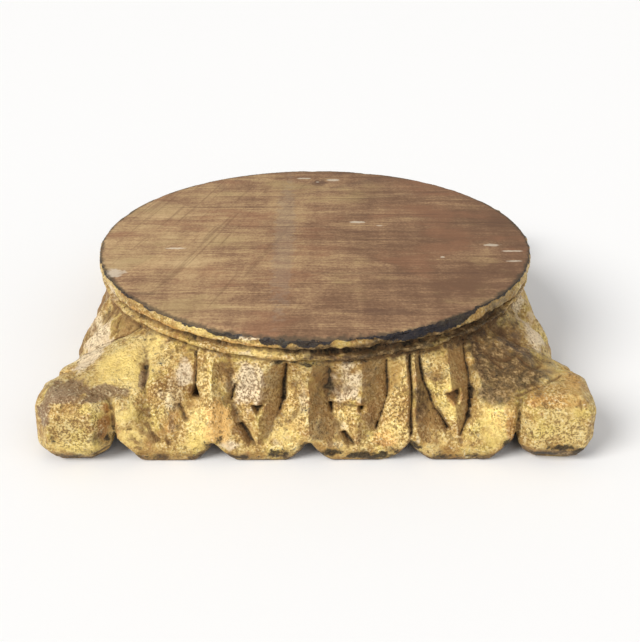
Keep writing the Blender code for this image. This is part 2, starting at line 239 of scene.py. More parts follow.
# Steep-walled cuts in the front, in millimetres: corners clockwise, depth, width of the walls
FRONT_PUNCHES = (
    (((-105.2, 50.2), (-99.8, 50.2), (-99.4, 44), (-99.2, 39.5), (-101, 39.5), (-102.6, 44)), 2.3, 1.6),
    (((-71.3, 46.5), (-68, 37.4), (-69, 36.6), (-74.8, 36.6)), 7.5, 1.8),
    (((-39.2, 33.8), (-30, 34), (-33.9, 26.8)), 6.5, 1.5),
    (((-46.6, 23.4), (-42.6, 23.8), (-34.2, 11.2), (-36, 10.2), (-39.8, 11)), 4.2, 1.2),
    (((7.6, 34.2), (11, 33.9), (10.6, 28.8), (8.7, 28.4)), 5, 1.1),
    (((24.4, 33.4), (28.2, 33.8), (29.4, 31.4), (27.6, 29.2), (25, 29.8)), 6, 1.4),
    (((14.6, 18.2), (17.8, 19.2), (24.4, 11.6), (22.4, 10.2), (19.4, 10.2)), 4.4, 1.2),
    (((36, 24.6), (38.8, 23.8), (36.8, 18.6), (34.2, 19.2)), 5, 1.4),
    (((74.6, 39.2), (85, 42.6), (86.2, 38), (84.2, 33.2)), 4.8, 1.7),
    (((70, 30.8), (72.8, 30.4), (80.6, 19.6), (77.2, 18.8)), 4.6, 1.3),
)

SIDES = [(FRONT_JOINTS, FRONT_FOLDS, FRONT_CUTS, FRONT_PUNCHES)]
SIDES += [plain_side(side) for side in (1, 2, 3)]

# Gouge strokes on the corners, in millimetres: start and end in space, half width, depth
CORNER_STROKES = (
    ((114, -99, 57), (128, -107, 50), 1.3, 2), ((135, -106, 47), (153, -109, 38), 1.2, 1.9),
    ((104, -123, 52), (113, -133, 47), 1.2, 1.7), ((116, -150, 40.5), (134, -145, 43.5), 1.1, 1.6),
    ((134, -145, 43.5), (149, -131, 43), 1.1, 1.4), ((140, -62, 51), (151, -62, 38), 1, 1.3),
    ((118, -112, 52), (140, -96, 49), 1.3, 1.1), ((125, -138, 43), (139, -118, 45), 1.6, 1),
    ((-124, -83, 57), (-131, -100, 49), 1.3, 2), ((-131, -100, 49), (-137, -106, 46), 1.2, 1.6),
    ((121, -120, 50), (130, -131, 45), 1.2, 1.3), ((109, -112, 56), (120, -124, 50), 1.2, 1.2),
)

# Flats pared off the blocks, in millimetres: middle, facing, reach
BLOCK_FLATS = (
    ((163.2, -142, 26), (1, -0.02, 0.05), 30), ((158, -144, 8), (0.75, -0.05, -0.66), 20),
    ((140, -164.4, 22), (0.03, -1, 0.06), 26), ((133, -161.5, 37), (0.02, -0.66, 0.75), 21),
    ((158, -148, 40.5), (0.6, -0.1, 0.8), 16), ((140, -162.5, 7), (-0.06, -0.72, -0.7), 20),
    ((-140, -164.4, 24), (-0.03, -1, 0.02), 24), ((-158, -159, 30), (-0.8, -0.6, 0.15), 20),
    ((-141, -163, 34.5), (-0.05, -0.62, 0.8), 24), ((-158, -150, 38), (-0.62, -0.3, 0.8), 16),
    ((-124, -160, 38), (0.3, -0.5, 0.8), 9), ((-124, -162, 12), (0.5, -0.5, -0.7), 10),
)

# Facets of the front right leaf, which fade out towards their rims
WEB_FLATS = (
    ((113, -116, 52.6), (0.1, -0.55, 0.82), 14),
    ((129, -120, 48.2), (0.62, -0.1, 0.78), 15),
    ((121, -135, 45.4), (0.05, -0.36, 0.93), 13),
)


def neck_angle(along):
    gather = NECK_GATHER * (np.abs(along) / (LOBE_SPAN / 2)) ** 3
    return np.arcsin(np.clip(along * (1 - gather) / NECK_RADIUS, -1, 1))


def foot_rise(along, joints):
    """Height of the row's lower edge: low under each lobe, curving up to each joint."""
    joints = np.array(joints) / 1000
    lobe = int(np.clip(np.searchsorted(joints, along) - 1, 0, 3))
    left, right = joints[lobe], joints[lobe + 1]
    away = abs(along - (left + right) / 2) / ((right - left) / 2)
    return NOTCH_HEIGHT * float(ramp(away, 0.50, 1.0)) ** 1.7


def lobe_line(along, joints):
    """One smooth column of the row of lobes, from the neck to the lip."""
    rise = foot_rise(along, joints)
    angle = float(neck_angle(along))
    part = ramp(ROWS, 0.0, BROW_SHARE)
    spread = ramp(ROWS, BROW_SHARE, 1.0)
    at = mix(NECK_RADIUS * math.sin(angle), along, part)
    out = mix(NECK_RADIUS * math.cos(angle), BROW_OUT, part)
    out = out + (LIP_OUT - BROW_OUT) * (1 - (1 - spread) ** 1.35)
    height = mix(NECK_HEIGHT, LIP_HEIGHT + rise / 2, ROWS)
    return {"points": np.stack([at, out, height], 1), "neck": angle, "rise": rise}


def corner_lines(towards):
    """Columns that shape a corner, from beside the end lobe's leaf to the corner's middle."""
    rim = END_HOLLOW + 0.0035
    end = LOBE_SPAN / 2 - BLOCK_GAP / 2
    gap = LOBE_SPAN / 2 + BLOCK_GAP / 2
    foot_end = LOBE_SPAN / 2 - LOBE_HALF * 0.44
    core = BROW_OUT - 0.001
    gap_out = LIP_OUT - GAP_RECESS
    half_way = (mix(rim, end, 0.5), mix(foot_end, end, 0.5))
    places = [
        (rim, foot_end + 0.001, LIP_OUT - RIM_INSET, LIP_OUT, 0.0012, 0.0006),
        half_way + (LIP_OUT - 0.0049, LIP_OUT, 0.0, NOTCH_HEIGHT * 0.5),
        (end, end, LIP_OUT - WALL_INSET, LIP_OUT - 0.0016, 0.0, NOTCH_HEIGHT),
        (gap, gap, gap_out - 0.001, gap_out, 0.0, NOTCH_HEIGHT * 1.2),
    ]
    places += [(mix(gap, BROW_OUT, s),) * 2 + (core, core, 0.0, NOTCH_HEIGHT) for s in (0.35, 0.68)]
    places.append((BROW_OUT, core, core, core, 0.0, NOTCH_HEIGHT))
    start = float(neck_angle(END_HOLLOW))
    part = ramp(ROWS, 0.0, BROW_SHARE)
    bend = ramp(ROWS, BROW_SHARE, WALL_SHARE)
    low = ramp(ROWS, WALL_SHARE, 1.0)
    lines = []
    for number, (brow_along, foot_along, wall_out, foot_out, lift, rise) in enumerate(places):
        angle = mix(start, math.pi / 4, (number + 1) / len(places))
        slope = mix(NECK_HEIGHT, LEDGE_HEIGHT, part**0.8) + lift * np.sin(math.pi * part / 2)
        ledge = ROWS < WALL_SHARE
        wall = np.where(ledge, mix(BROW_OUT, wall_out, bend), mix(wall_out, foot_out, np.sqrt(low)))
        wall_foot = mix(WALL_TOP, LIP_HEIGHT + rise / 2, low)
        drop = np.where(ledge, mix(LEDGE_HEIGHT, WALL_TOP, bend), wall_foot)
        upper = ROWS <= BROW_SHARE
        neck_along = NECK_RADIUS * math.sin(angle)
        along = mix(brow_along, foot_along, low)
        along = np.where(upper, mix(neck_along, brow_along, part), along)
        out = np.where(upper, mix(NECK_RADIUS * math.cos(angle), BROW_OUT, part), wall)
        points = np.stack([towards * along, out, np.where(upper, slope, drop)], 1)
        lines.append({"points": points, "neck": towards * angle, "rise": rise})
    return lines


def between(a, b, count):
    return [{key: mix(a[key], b[key], i / count) for key in a} for i in range(count)]


def side_lines(joints):
    """All columns of one side, left to right."""
    left_corner = list(reversed(corner_lines(-1)))
    right_corner = corner_lines(1)
    counts = (8, 8, 6, 4, 6, 6)
    lines = []
    for a, b, count in zip(left_corner, left_corner[1:], counts):
        lines += between(a, b, count)
    row = [lobe_line(along, joints) for along in np.linspace(-END_HOLLOW, END_HOLLOW, ROW_COLUMNS)]
    lines += between(left_corner[-1], row[0], 3)
    lines += row[:-1]
    lines += between(row[-1], right_corner[0], 3)
    for a, b, count in zip(right_corner, right_corner[1:], reversed(counts)):
        lines += between(a, b, count)
    return lines


def moulding_profile():
    """(radius, height) pairs down the turned moulding."""
    rim_foot = HEIGHT - RIM_HEIGHT
    ring_top = rim_foot - UPPER_GROOVE
    ring_foot = ring_top - RING_HEIGHT
    upper = TOP_RADIUS - UPPER_GROOVE_DEPTH
    lower = TOP_RADIUS - LOWER_GROOVE_DEPTH
    ring = TOP_RADIUS - RING_DEPTH
    return [
        (TOP_RADIUS - 0.0012, HEIGHT),
        (TOP_RADIUS, HEIGHT - 0.0012),
        (TOP_RADIUS, rim_foot + RIM_HEIGHT * 0.1),
        (ring, rim_foot),
        (upper, rim_foot - UPPER_GROOVE * 0.35),
        (upper, rim_foot - UPPER_GROOVE * 0.6),
        (ring - RING_DEPTH, ring_top),
        (ring, ring_top - RING_HEIGHT * 0.25),
        (ring, ring_foot + RING_HEIGHT * 0.25),
        (ring - RING_DEPTH, ring_foot),
        (lower, ring_foot - LOWER_GROOVE * 0.3),
        (lower, ring_foot - LOWER_GROOVE * 0.6),
    ]


def stacked_faces(rings, count, start=0):
    """Faces between rings of points, each below the last, and over both ends."""
    faces = []
    for first in range(start, start + (rings - 1) * count, count):
        for i in range(count):
            j = (i + 1) % count
            faces.append((first + i, first + count + i, first + count + j, first + j))
    last = start + (rings - 1) * count
    faces.append(tuple(range(start, start + count)))
    faces.append(tuple(reversed(range(last, last + count))))
    return faces


def body_mesh():
    """Vertices and faces of the lofted body, without its corner blocks."""
    columns = []
    for side, (joints, *_) in enumerate(SIDES):
        columns += [(side * math.pi / 2, line) for line in side_lines(joints)]

    def place(turn, along, out, height):
        c, s = math.cos(turn), math.sin(turn)
        return (along * c + out * s, along * s - out * c, height)

    rings = []
    for radius, height in moulding_profile():
        neck = [(t, line["neck"]) for t, line in columns]
        rings.append([place(t, radius * math.sin(a), radius * math.cos(a), height) for t, a in neck])
    for row in range(len(ROWS)):
        rings.append([place(t, *line["points"][row]) for t, line in columns])
    for drop, inwards in ((0.45, 0.15), (0.75, 0.5), (1.0, 1.0)):
        ring = []
        for t, line in columns:
            along, out, height = line["points"][-1]
            reach = (out - LIP_UNDERCUT * inwards) / max(abs(along), out)
            ring.append(place(t, along * reach, out * reach, mix(height, line["rise"], drop)))
        rings.append(ring)
    for inset, lift in ((0.0, 0.9), (0.001, 0.0)):
        ring = []
        for t, line in columns:
            along, out, _ = line["points"][-1]
            reach = (CORE_OUT - inset) / max(abs(along), out)
            ring.append(place(t, along * reach, out * reach, line["rise"] * lift))
        rings.append(ring)
    return [v for ring in rings for v in ring], stacked_faces(len(rings), len(columns))


# Corner blocks, in millimetres: height, how far the top slopes in, the drop of that slope and the
# corner cut, starting at the front right one and turning anticlockwise seen from above
BLOCKS = ((43.0, 9.0, 4.2, 8.0), (42.0, 9.0, 4.5, 8.5), (41.0, 9.5, 5.0, 8.0), (42.0, 10.5, 5.0, 9.0))


def block_mesh(corner, start):
    """Vertices and faces of one corner block, as stacked octagons."""
    height, top_in, top_drop, cut = (v / 1000 for v in BLOCKS[corner])
    middle = HALF_WIDTH - BLOCK_WIDTH / 2
    levels = [
        (top_in, cut * 0.7, height),
        (top_in * 0.45, cut * 0.9, height - top_drop * 0.3),
        (0.0012, cut, height - top_drop),
        (0.0, cut, height - top_drop - 0.004),
        (0.0, cut, 0.0130),
        (0.0010, cut * 0.95, 0.0095),
        (0.0036, cut * 0.9, 0.0048),
        (0.0085, cut * 0.6, 0.0),
    ]
    c, s = math.cos(corner * math.pi / 2), math.sin(corner * math.pi / 2)
    verts = []
    for inset, chamfer, z in levels:
        half = BLOCK_WIDTH / 2 - inset
        flat = half - chamfer
        ring = [(half, -flat), (half, flat), (flat, half), (-flat, half)]
        ring += [(-half, flat), (-half, -flat), (-flat, -half), (flat, -half)]
        for x, y in ring:
            x, y = x + middle, y - middle
            verts.append((x * c - y * s, x * s + y * c, z))
    return verts, stacked_faces(len(levels), 8, start)


# Mesh helpers
def new_mesh_object(name, verts, faces):
    mesh = bpy.data.meshes.new(name)
    mesh.from_pydata(verts, [], faces)
    mesh.update()
    thing = bpy.data.objects.new(name, mesh)
    bpy.context.scene.collection.objects.link(thing)
    return thing


def apply_modifiers(thing):
    graph = bpy.context.evaluated_depsgraph_get()
    mesh = bpy.data.meshes.new_from_object(thing.evaluated_get(graph))
    old = thing.data
    thing.modifiers.clear()
    thing.data = mesh
    bpy.data.meshes.remove(old)


def coords(mesh):
    co = np.empty(len(mesh.vertices) * 3, np.float32)
    mesh.vertices.foreach_get("co", co)
    return co.reshape(-1, 3).astype(float)


def set_coords(mesh, co):
    mesh.vertices.foreach_set("co", co.astype(np.float32).ravel())
    mesh.update()


def normals(mesh):
    n = np.empty(len(mesh.vertices) * 3, np.float32)
    mesh.vertex_normals.foreach_get("vector", n)
    return n.reshape(-1, 3).astype(float)


class Neighbours:
    """Averages a value over each vertex's neighbours."""

    def __init__(self, mesh):
        e = np.empty(len(mesh.edges) * 2, np.int32)
        mesh.edges.foreach_get("vertices", e)
        self.a, self.b = e[0::2], e[1::2]
        self.count = len(mesh.vertices)
        self.degree = np.maximum(np.bincount(e, minlength=self.count), 1)

    def mean(self, values):
        if values.ndim > 1:
            return np.stack([self.mean(values[:, k]) for k in range(values.shape[1])], 1)
        total = np.bincount(self.a, values[self.b], self.count)
        total = total + np.bincount(self.b, values[self.a], self.count)
        return total / self.degree

    def smooth(self, values, rounds, strength=0.6):
        for _ in range(rounds):
            values = values + (self.mean(values) - values) * strength
        return values


def side_frame(co, side):
    """(along, out) of points seen square-on from a side."""
    c, s = math.cos(side * math.pi / 2), math.sin(side * math.pi / 2)
    return co[:, 0] * c + co[:, 1] * s, co[:, 0] * s - co[:, 1] * c


def out_direction(side):
    turn = side * math.pi / 2
    return np.array([math.sin(turn), -math.cos(turn), 0.0])


def fold_depth(x, z, folds):
    """Depth in millimetres of the folded surface at places in millimetres."""
    lines = []
    for fold in folds:
        fx, fz, fd = (np.array(v, float)[::-1] for v in zip(*fold))
        lines.append((np.interp(z, fz, fx), np.interp(z, fz, fd)))
    depth = np.zeros(len(x))
    for (x0, d0), (x1, d1) in zip(lines, lines[1:]):
        inside = (x >= x0) & (x < x1)
        t = (x - x0) / np.maximum(x1 - x0, 0.3)
        depth = np.where(inside, d0 + (d1 - d0) * t, depth)
    return depth


def cut_depth(x, z, cut):
    """Depth in millimetres of one straight V-shaped cut."""
    x0, z0, x1, z1, half0, half1, deep = cut
    dx, dz = x1 - x0, z1 - z0
    length = math.hypot(dx, dz)
    t = ((x - x0) * dx + (z - z0) * dz) / length
    side = np.abs((x - x0) * dz - (z - z0) * dx) / length
    half = mix(half0, half1, np.clip(t / length, 0, 1))
    past = np.maximum(0, np.maximum(-t, t - length))
    return deep * np.maximum(0.0, 1 - np.hypot(side / half, past / (half * 0.8)) ** 1.6)


def punch_depth(x, z, punch):
    """Depth in millimetres of one steep-walled cut with a straight-sided outline."""
    corners, deep, wall = punch
    inside = np.full(len(x), 99.0)
    for (x0, z0), (x1, z1) in zip(corners, corners[1:] + corners[:1]):
        length = math.hypot(x1 - x0, z1 - z0)
        inside = np.minimum(inside, ((x - x0) * (z1 - z0) - (z - z0) * (x1 - x0)) / length)
    return deep * np.clip(inside / wall, 0, 1)


def carve_sides(co, n, neighbours):
    """The folds and cuts of the four rows of lobes."""
    broad = neighbours.smooth(n, 25)
    broad /= np.maximum(np.linalg.norm(broad, axis=1), 1e-6)[:, None]
    result = co.copy()
    for side, (_, folds, cuts, punches) in enumerate(SIDES):
        along, out = side_frame(co, side)
        facing = broad @ out_direction(side)
        chosen = (out > 0.085) & (np.abs(along) < 0.119) & (out > np.abs(along))
        chosen = chosen & (co[:, 2] < 0.0612) & (facing > 0.05)
        idx = np.nonzero(chosen)[0]
        x, z = along[idx] * 1000, co[idx, 2] * 1000
        wobble = lattice_noise(co[idx], 0.012, 20 + side) * 0.7
        x = x + wobble
        fade = smooth_ramp(z, 7.0, 14.0) * (1 - smooth_ramp(z, 58.6, 60.4))
        fade = fade * smooth_ramp(facing[idx], 0.05, 0.4)
        depth = fold_depth(x, z, folds)
        for cut in cuts:
            depth = depth + cut_depth(x - wobble * 0.4, z, cut)
        for punch in punches:
            depth = depth + punch_depth(x - wobble * 0.7, z, punch)
        push = (depth * fade / 1000)[:, None]
        result[idx] -= push * (broad[idx] * 0.55 + out_direction(side) * 0.45)
    return result


def gouge_marks(co, n, rng, chosen, count, size=1.0):
    """Shallow lens-shaped hollows as a gouge leaves them, scattered over the chosen vertices."""
    push = np.zeros(len(co))
    for k in rng.choice(chosen, count):
        length, width = rng.uniform(0.005, 0.013) * size, rng.uniform(0.0025, 0.0055) * size
        deep = rng.uniform(0.0002, 0.0008) * size
        near = np.nonzero(np.abs(co[:, 0] - co[k, 0]) < length)[0]
        near = near[np.linalg.norm(co[near] - co[k], axis=1) < length]
        near = near[n[near] @ n[k] > 0.5]
        run = np.cross(n[k], rng.normal(size=3) * (1, 1, 0.4))
        run /= np.linalg.norm(run)
        away = co[near] - co[k]
        along = (away @ run) / length
        across = (away @ np.cross(n[k], run)) / width
        push[near] = np.maximum(push[near], deep * np.maximum(0.0, 1 - along**2 - across**2))
    return push


def plane_cuts(co, cuts, fade):
    """Flats pared off: points beyond each plane, near its middle, come back onto it.

    The cut fades out from the share of its reach given as fade.
    """
    for middle, normal, reach in cuts:
        middle, normal = np.array(middle) / 1000, np.array(normal, float)
        normal /= np.linalg.norm(normal)
        away = np.linalg.norm(co - middle, axis=1) * 1000 / reach
        near = np.nonzero(away < 1)[0]
        over = np.maximum(0.0, (co[near] - middle) @ normal)
        over *= 1 - smooth_ramp(away[near], fade, 1.0)
        co[near] -= normal * over[:, None]
    return co


def stroke_depth(co):
    """Depth in millimetres of the gouge strokes on the corners."""
    depth = np.zeros(len(co))
    loose = co * 1000 + (lattice_noise(co, 0.008, 16) * 0.5)[:, None]
    for a, b, half, deep in CORNER_STROKES:
        a, b = np.array(a, float), np.array(b, float)
        t = np.clip(((loose - a) @ (b - a)) / ((b - a) @ (b - a)), 0, 1)
        gap = loose - (a + t[:, None] * (b - a))
        away = np.linalg.norm(gap * (1, 1, 0.25), axis=1)
        thin = 1 - 0.7 * np.abs(2 * t - 1) ** 3
        depth = np.maximum(depth, np.maximum(0.0, 1 - away / (half * 1.5 * thin)) * deep * thin)
    return depth


def groove_share(z):
    """How far a height in millimetres lies inside one of the moulding's two grooves, from 0 to 1."""
    return np.maximum(1.15 - np.abs(z - 67.5) / 2.6, 1 - np.abs(z - 60.4) / 1.8).clip(0, 1)


def rounded_front(co):
    """How far handling has rounded the top's front edge, from 0 to 1."""
    return smooth_ramp(-co[:, 1], 0.09, 0.13) * (1 - smooth_ramp(co[:, 0], 0.045, 0.085))


def worn_moulding(co):
    """How badly the moulding is chipped, from 0 to 1: worst at the middle and right of the front."""
    front = smooth_ramp(-co[:, 1], 0.02, 0.09)
    return np.maximum(0.25, front * smooth_ramp(co[:, 0], -0.045, 0.030))


def build_carving():
    """The body and its blocks as one fine mesh, folded, cut and worn."""
    verts, faces = body_mesh()
    for corner in range(4):
        more, more_faces = block_mesh(corner, len(verts))
        verts += more
        faces += more_faces
    thing = new_mesh_object("gilded_base", verts, faces)
    remesh = thing.modifiers.new("remesh", "REMESH")
    remesh.mode = "VOXEL"
    remesh.voxel_size = VOXEL
    apply_modifiers(thing)
    mesh = thing.data
    co = coords(mesh)
    around = Neighbours(mesh)
    flat = (co[:, 2] > HEIGHT - 0.0004) | (co[:, 2] < FLAT_SKIN)
    co = np.where(flat[:, None], co, around.smooth(co, 2, 0.5))
    set_coords(mesh, co)
    co = carve_sides(co, normals(mesh), around)
    co = np.where(flat[:, None], co, around.smooth(co, 1, 0.5))
    set_coords(mesh, co)
    n = normals(mesh)

    rng = np.random.default_rng(CARVER_SEED)
    carved = np.nonzero((co[:, 2] < 0.060) & (co[:, 2] > 0.004) & (n[:, 2] > -0.5))[0]
    push = gouge_marks(co, n, rng, carved, GOUGE_MARKS)
    spread = np.minimum(np.abs(co[:, 0]), np.abs(co[:, 1]))
    webs = (spread > 0.090) & (co[:, 2] > 0.030) & (co[:, 2] < 0.060) & (n[:, 2] > 0.1)
    push = np.maximum(push, gouge_marks(co, n, rng, np.nonzero(webs)[0], WEB_MARKS, 1.5))
    co = co - n * push[:, None]
    co = plane_cuts(co, BLOCK_FLATS, 0.99)
    co = plane_cuts(co, WEB_FLATS, 0.6)
    set_coords(mesh, co)
    n = normals(mesh)

    radius = np.hypot(co[:, 0], co[:, 1])
    sides = 1 - smooth_ramp(co[:, 2], HEIGHT - 0.0015, HEIGHT - 0.0003)
    sides = sides * smooth_ramp(co[:, 2], 0.0, 0.0015)
    push = np.zeros(len(co))
    layers = ((0.026, 1, 0.0006), (0.010, 2, 0.00035), (0.0042, 3, 0.0002), (0.0023, 4, 0.0002))
    for size, seed, deep in layers:
        push += lattice_noise(co, size, seed) * deep
    moulding = smooth_ramp(co[:, 2], 0.0585, 0.0615) * sides
    ruin = worn_moulding(co)
    push += moulding * lattice_noise(co * (1, 1, 2.0), 0.012, 5) * (0.0003 + 0.0008 * ruin)
    push += moulding * lattice_noise(co * (1, 1, 2.5), 0.004, 6) * (0.0002 + 0.0005 * ruin)
    push -= moulding * ruin * ramp(lattice_noise(co * (1, 1, 1.6), 0.011, 13), 0.1, 0.5) * 0.0014
    wavy = lattice_noise(co * (1, 1, 0.2), 0.030, 9) * (0.6 + 0.5 * ruin)
    grooves = groove_share(co[:, 2] * 1000 + wavy)
    push -= grooves * sides * (0.0012 + 0.0006 * ruin) * (1 + 0.6 * lattice_noise(co, 0.02, 10))
    low = (1 - smooth_ramp(co[:, 2], 0.005, 0.012)) * (n[:, 2] > -0.2)
    push -= low * ramp(lattice_noise(co, 0.009, 14), 0.0, 0.6) * 0.0013
    push -= stroke_depth(co) / 1000
    co = co + n * (push * sides)[:, None]

    # worn and chipped edges
    bulge = ((co - around.smooth(co, 8)) * n).sum(1)
    chip = ramp(lattice_noise(co, 0.009, 7) + 0.5 * lattice_noise(co, 0.004, 8), 0.2, 0.9)
    wear = np.clip(bulge * 900, 0, 1) * (1 - moulding * (1 - ruin) * 0.8)
    co = co - n * (wear * (0.0002 + chip * 0.0012) * sides)[:, None]

    # the top's rim, nibbled here and there
    edge = smooth_ramp(radius, TOP_RADIUS - 0.004, TOP_RADIUS - 0.0005)
    edge = edge * smooth_ramp(co[:, 2], HEIGHT - 0.005, HEIGHT - 0.001)
    nibble = ramp(lattice_noise(co, 0.018, 11) + 0.5 * lattice_noise(co, 0.006, 12), 0.1, 0.8)
    nibble = nibble * (0.4 + 0.8 * ruin)
    inward = np.stack([-co[:, 0], -co[:, 1], np.zeros(len(co))], 1) / np.maximum(radius, 1e-6)[:, None]
    co = co + inward * (edge * nibble * 0.0006)[:, None]
    co[:, 2] -= edge * nibble * 0.0007
    slope = smooth_ramp(radius, EDGE_START, TOP_RADIUS) * smooth_ramp(co[:, 2], 0.0735, HEIGHT - 0.0004)
    co[:, 2] -= slope * rounded_front(co) * (0.0021 + 0.0006 * lattice_noise(co, 0.018, 15))

    co[:, 2] = np.clip(co[:, 2], 0.0, HEIGHT)
    co[:, :2] = np.clip(co[:, :2], -HALF_WIDTH, HALF_WIDTH)
    set_coords(mesh, co)
    triangles = sum(len(p.vertices) - 2 for p in mesh.polygons)
    decimate = thing.modifiers.new("decimate", "DECIMATE")
    decimate.ratio = min(1.0, TRIANGLES / triangles)
    decimate.use_collapse_triangulate = True
    apply_modifiers(thing)
    co = coords(thing.data)
    co[:, 2] = np.clip(co[:, 2], 0.0, HEIGHT - 1e-6)
    co[:, :2] = np.clip(co[:, :2], 1e-6 - HALF_WIDTH, HALF_WIDTH - 1e-6)
    set_coords(thing.data, co)
    return thing


base = build_carving()
base.data.shade_smooth()
print("triangles", len(base.data.polygons))


